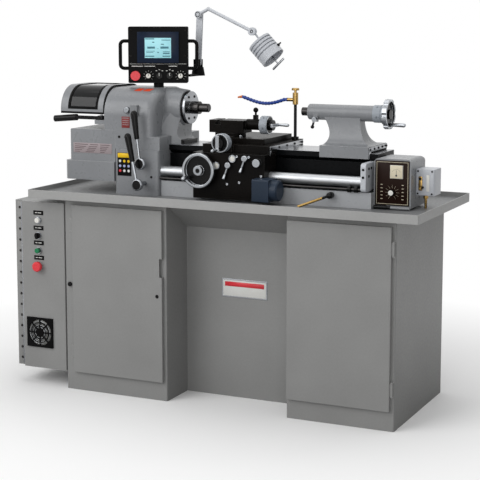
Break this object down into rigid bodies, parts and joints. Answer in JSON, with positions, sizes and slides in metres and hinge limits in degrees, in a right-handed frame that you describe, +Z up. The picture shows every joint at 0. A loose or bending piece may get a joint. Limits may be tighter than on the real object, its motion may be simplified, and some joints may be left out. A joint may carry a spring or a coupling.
{
  "type": "toolroom lathe",
  "caption": "Toolroom lathe on a twin-pedestal cabinet with chip pan, headstock, dovetail bed, power-feed carriage, tailstock, swivelling control panel, coolant hose and work lamp.",
  "frame": {"origin": "on the floor under the middle of the whole length and depth", "axes": "+X to the tailstock end, -Y to the operator, +Z up"},
  "size_m": [1.708, 0.64, 1.51],
  "materials": {
    "painted_casing": "satin grey machine enamel",
    "painted_casting": "satin grey enamel on iron castings",
    "dark_casting": "blackened and ground cast iron",
    "ground_steel": "ground and polished steel",
    "chrome_controls": "bright plated controls with black grips",
    "black_metal": "black enamel",
    "black_plastic": "matt black moulding",
    "red_plastic": "glossy red moulding",
    "green_plastic": "glossy green moulding",
    "window": "smoked clear pane",
    "motor_blue": "blue-black enamel",
    "brass": "bright brass",
    "hose_blue": "blue jointed hose with an orange nozzle",
    "black_rubber": "black belt",
    "brown_panel": "brown and grey enamel",
    "lamp_silver": "silver finned aluminium"
  },
  "bodies": {
    "base": {"left_pedestal": "painted_casing", "right_pedestal": "painted_casing", "knee_panel": "painted_casing", "chip_pan": "painted_casing", "electrical_box": "painted_casing", "bed": "dark_casting", "headstock_base": "painted_casting", "headstock": "painted_casting", "end_cover": "painted_casting", "feed_box": "brown_panel", "oil_pump": "brown_panel", "brass_lines": "brass", "guide_tube": "ground_steel", "rod_bracket": "ground_steel", "main_motor": "motor_blue", "drive_belt": "black_rubber", "panel_post": "black_metal"},
    "left_door": {"left_door": "painted_casing"},
    "right_door": {"right_door": "painted_casing"},
    "electrical_door": {"electrical_door": "painted_casing", "fan_grille": "black_plastic"},
    "door_stop_button": {"door_stop_button": "red_plastic"},
    "start_button": {"start_button": "green_plastic"},
    "door_selector": {"door_selector": "black_plastic"},
    "spindle": {"spindle": "ground_steel"},
    "motor_pulley": {"motor_pulley": "ground_steel"},
    "closer_lever": {"closer_lever": "black_metal"},
    "closer_guard": {"closer_guard": "painted_casting", "guard_window": "window"},
    "upper_gear_lever": {"upper_gear_lever": "chrome_controls"},
    "lower_gear_lever": {"lower_gear_lever": "chrome_controls"},
    "lock_pin": {"lock_pin": "ground_steel"},
    "carriage": {"saddle": "dark_casting", "apron": "dark_casting", "feed_motor": "motor_blue", "coolant_post": "brass", "coolant_hose": "hose_blue"},
    "coolant_tap": {"coolant_tap": "brass"},
    "carriage_wheel": {"carriage_wheel": "chrome_controls"},
    "left_feed_lever": {"left_feed_lever": "chrome_controls"},
    "right_feed_lever": {"right_feed_lever": "chrome_controls"},
    "cross_slide": {"cross_slide": "dark_casting"},
    "cross_crank": {"cross_crank": "chrome_controls"},
    "compound_swivel": {"compound_swivel": "dark_casting"},
    "compound_slide": {"compound_slide": "dark_casting"},
    "compound_crank": {"compound_crank": "chrome_controls"},
    "tailstock": {"tailstock": "painted_casting"},
    "quill": {"quill": "ground_steel"},
    "tailstock_wheel": {"tailstock_wheel": "chrome_controls"},
    "quill_lock": {"quill_lock": "chrome_controls"},
    "feed_knob": {"feed_knob": "black_plastic"},
    "control_panel": {"panel_case": "black_metal"},
    "panel_stop_button": {"panel_stop_button": "red_plastic"},
    "left_panel_knob": {"left_panel_knob": "black_plastic"},
    "right_panel_knob": {"right_panel_knob": "black_plastic"},
    "left_panel_switch": {"left_panel_switch": "black_plastic"},
    "right_panel_switch": {"right_panel_switch": "black_plastic"},
    "lamp_lower_arm": {"lamp_lower_arm": "lamp_silver"},
    "lamp_upper_arm": {"lamp_upper_arm": "lamp_silver"},
    "lamp_head": {"lamp_head": "lamp_silver"}
  },
  "joints": [
    {"name": "left_door_hinge", "type": "hinge", "parent": "base", "child": "left_door", "pos_m": [-0.579, -0.27, 0.41], "axis": [0, 0, -1], "range_deg": [0, 105]},
    {"name": "right_door_hinge", "type": "hinge", "parent": "base", "child": "right_door", "pos_m": [0.75, -0.27, 0.41], "axis": [0, 0, 1], "range_deg": [0, 105]},
    {"name": "electrical_door_hinge", "type": "hinge", "parent": "base", "child": "electrical_door", "pos_m": [-0.818, -0.254, 0.4075], "axis": [0, 0, -1], "range_deg": [0, 110]},
    {"name": "door_stop_press", "type": "slide", "parent": "electrical_door", "child": "door_stop_button", "axis": [0, 1, 0], "range_m": [0, 0.0045], "stiffness_N_per_m": 900},
    {"name": "start_press", "type": "slide", "parent": "electrical_door", "child": "start_button", "axis": [0, 1, 0], "range_m": [0, 0.0045], "stiffness_N_per_m": 600},
    {"name": "door_selector_turn", "type": "hinge", "parent": "electrical_door", "child": "door_selector", "pos_m": [-0.7337, -0.2713, 0.61], "axis": [0, 1, 0], "range_deg": [-45, 45]},
    {"name": "spindle_turn", "type": "hinge", "parent": "base", "child": "spindle", "pos_m": [-0.203, 0.02, 1.117], "axis": [1, 0, 0], "continuous": true},
    {"name": "motor_pulley_turn", "type": "hinge", "parent": "base", "child": "motor_pulley", "pos_m": [-0.405, 0.02, 0.153], "axis": [1, 0, 0], "continuous": true},
    {"name": "closer_lever_swing", "type": "hinge", "parent": "base", "child": "closer_lever", "pos_m": [-0.518, -0.13, 1.0683], "axis": [0, 0, 1], "range_deg": [-18, 15]},
    {"name": "closer_guard_hinge", "type": "hinge", "parent": "base", "child": "closer_guard", "pos_m": [-0.498, 0.187, 1.09], "axis": [-1, 0, 0], "range_deg": [0, 70]},
    {"name": "upper_gear_lever_turn", "type": "hinge", "parent": "base", "child": "upper_gear_lever", "pos_m": [-0.314, -0.158, 0.908], "axis": [0, 1, 0], "range_deg": [-20, 20]},
    {"name": "lower_gear_lever_turn", "type": "hinge", "parent": "base", "child": "lower_gear_lever", "pos_m": [-0.31, -0.158, 0.83], "axis": [0, 1, 0], "range_deg": [-20, 20]},
    {"name": "lock_pin_pull", "type": "slide", "parent": "base", "child": "lock_pin", "axis": [0, -1, 0], "range_m": [0, 0.008]},
    {"name": "carriage_travel", "type": "slide", "parent": "base", "child": "carriage", "axis": [1, 0, 0], "range_m": [-0.065, 0.03]},
    {"name": "carriage_wheel_turn", "type": "hinge", "parent": "carriage", "child": "carriage_wheel", "pos_m": [-0.049, -0.185, 0.898], "axis": [0, 1, 0], "range_deg": [-900, 400]},
    {"name": "left_feed_lever_turn", "type": "hinge", "parent": "carriage", "child": "left_feed_lever", "pos_m": [0.067, -0.185, 0.922], "axis": [0, 1, 0], "range_deg": [-18, 18]},
    {"name": "right_feed_lever_turn", "type": "hinge", "parent": "carriage", "child": "right_feed_lever", "pos_m": [0.136, -0.185, 0.95], "axis": [0, 1, 0], "range_deg": [-18, 18]},
    {"name": "coolant_tap_turn", "type": "hinge", "parent": "carriage", "child": "coolant_tap", "pos_m": [0.199, 0.14, 1.179], "axis": [0, 0, 1], "range_deg": [-90, 180]},
    {"name": "cross_slide_travel", "type": "slide", "parent": "carriage", "child": "cross_slide", "axis": [0, 1, 0], "range_m": [-0.04, 0.04]},
    {"name": "cross_crank_turn", "type": "hinge", "parent": "carriage", "child": "cross_crank", "pos_m": [0.034, -0.165, 1.004], "axis": [0, 1, 0], "range_deg": [-3200, 3200]},
    {"name": "compound_swivel_turn", "type": "hinge", "parent": "cross_slide", "child": "compound_swivel", "pos_m": [-0.005, -0.02, 1.0166], "axis": [0, 0, 1], "range_deg": [-30, 10]},
    {"name": "compound_travel", "type": "slide", "parent": "compound_swivel", "child": "compound_slide", "axis": [1, 0, 0], "range_m": [-0.025, 0.025]},
    {"name": "compound_crank_turn", "type": "hinge", "parent": "compound_slide", "child": "compound_crank", "pos_m": [0.129, -0.02, 1.0629], "axis": [-1, 0, 0], "range_deg": [-2200, 2200]},
    {"name": "tailstock_travel", "type": "slide", "parent": "base", "child": "tailstock", "axis": [1, 0, 0], "range_m": [-0.03, 0.018]},
    {"name": "quill_travel", "type": "slide", "parent": "tailstock", "child": "quill", "axis": [-1, 0, 0], "range_m": [0, 0.07]},
    {"name": "tailstock_wheel_turn", "type": "hinge", "parent": "tailstock", "child": "tailstock_wheel", "pos_m": [0.57, 0.02, 1.117], "axis": [-1, 0, 0], "range_deg": [-200, 5600]},
    {"name": "quill_lock_turn", "type": "hinge", "parent": "tailstock", "child": "quill_lock", "pos_m": [0.344, -0.01, 1.091], "axis": [0, 1, 0], "range_deg": [-25, 25]},
    {"name": "feed_knob_turn", "type": "hinge", "parent": "base", "child": "feed_knob", "pos_m": [0.687, -0.113, 0.845], "axis": [0, 1, 0], "range_deg": [-140, 140]},
    {"name": "control_panel_swivel", "type": "hinge", "parent": "base", "child": "control_panel", "pos_m": [-0.341, 0.02, 1.2113], "axis": [0, 0, 1], "range_deg": [-60, 30]},
    {"name": "panel_stop_press", "type": "slide", "parent": "control_panel", "child": "panel_stop_button", "axis": [-0.4147, 0.91, 0], "range_m": [0, 0.0045], "stiffness_N_per_m": 900},
    {"name": "left_panel_knob_turn", "type": "hinge", "parent": "control_panel", "child": "left_panel_knob", "pos_m": [-0.36272, -0.02397, 1.2403], "axis": [-0.4147, 0.91, 0], "range_deg": [-140, 140]},
    {"name": "right_panel_knob_turn", "type": "hinge", "parent": "control_panel", "child": "right_panel_knob", "pos_m": [-0.24716, 0.0287, 1.2403], "axis": [-0.4147, 0.91, 0], "range_deg": [-140, 140]},
    {"name": "left_panel_switch_turn", "type": "hinge", "parent": "control_panel", "child": "left_panel_switch", "pos_m": [-0.3236, -0.00613, 1.2403], "axis": [-0.4147, 0.91, 0], "range_deg": [-45, 45]},
    {"name": "right_panel_switch_turn", "type": "hinge", "parent": "control_panel", "child": "right_panel_switch", "pos_m": [-0.28629, 0.01087, 1.2403], "axis": [-0.4147, 0.91, 0], "range_deg": [-45, 45]},
    {"name": "lamp_lower_arm_hinge", "type": "hinge", "parent": "control_panel", "child": "lamp_lower_arm", "pos_m": [-0.249, 0.186, 1.284], "axis": [0, 1, 0], "range_deg": [-20, 10]},
    {"name": "lamp_upper_arm_hinge", "type": "hinge", "parent": "lamp_lower_arm", "child": "lamp_upper_arm", "pos_m": [-0.24, 0.1737, 1.48], "axis": [0, 1, 0], "range_deg": [-15, 8]},
    {"name": "lamp_head_hinge", "type": "hinge", "parent": "lamp_upper_arm", "child": "lamp_head", "pos_m": [-0.002, 0.1737, 1.414], "axis": [0, 1, 0], "range_deg": [-25, 20]}
  ],
  "couplings": [
    {"joint": "motor_pulley_turn", "follows": "spindle_turn", "ratio": 1.3182},
    {"joint": "carriage_wheel_turn", "follows": "carriage_travel", "rad_per_m": 157.08},
    {"joint": "cross_crank_turn", "follows": "cross_slide_travel", "rad_per_m": 1256.6},
    {"joint": "compound_crank_turn", "follows": "compound_travel", "rad_per_m": 1256.6},
    {"joint": "tailstock_wheel_turn", "follows": "quill_travel", "rad_per_m": 1256.6}
  ]
}
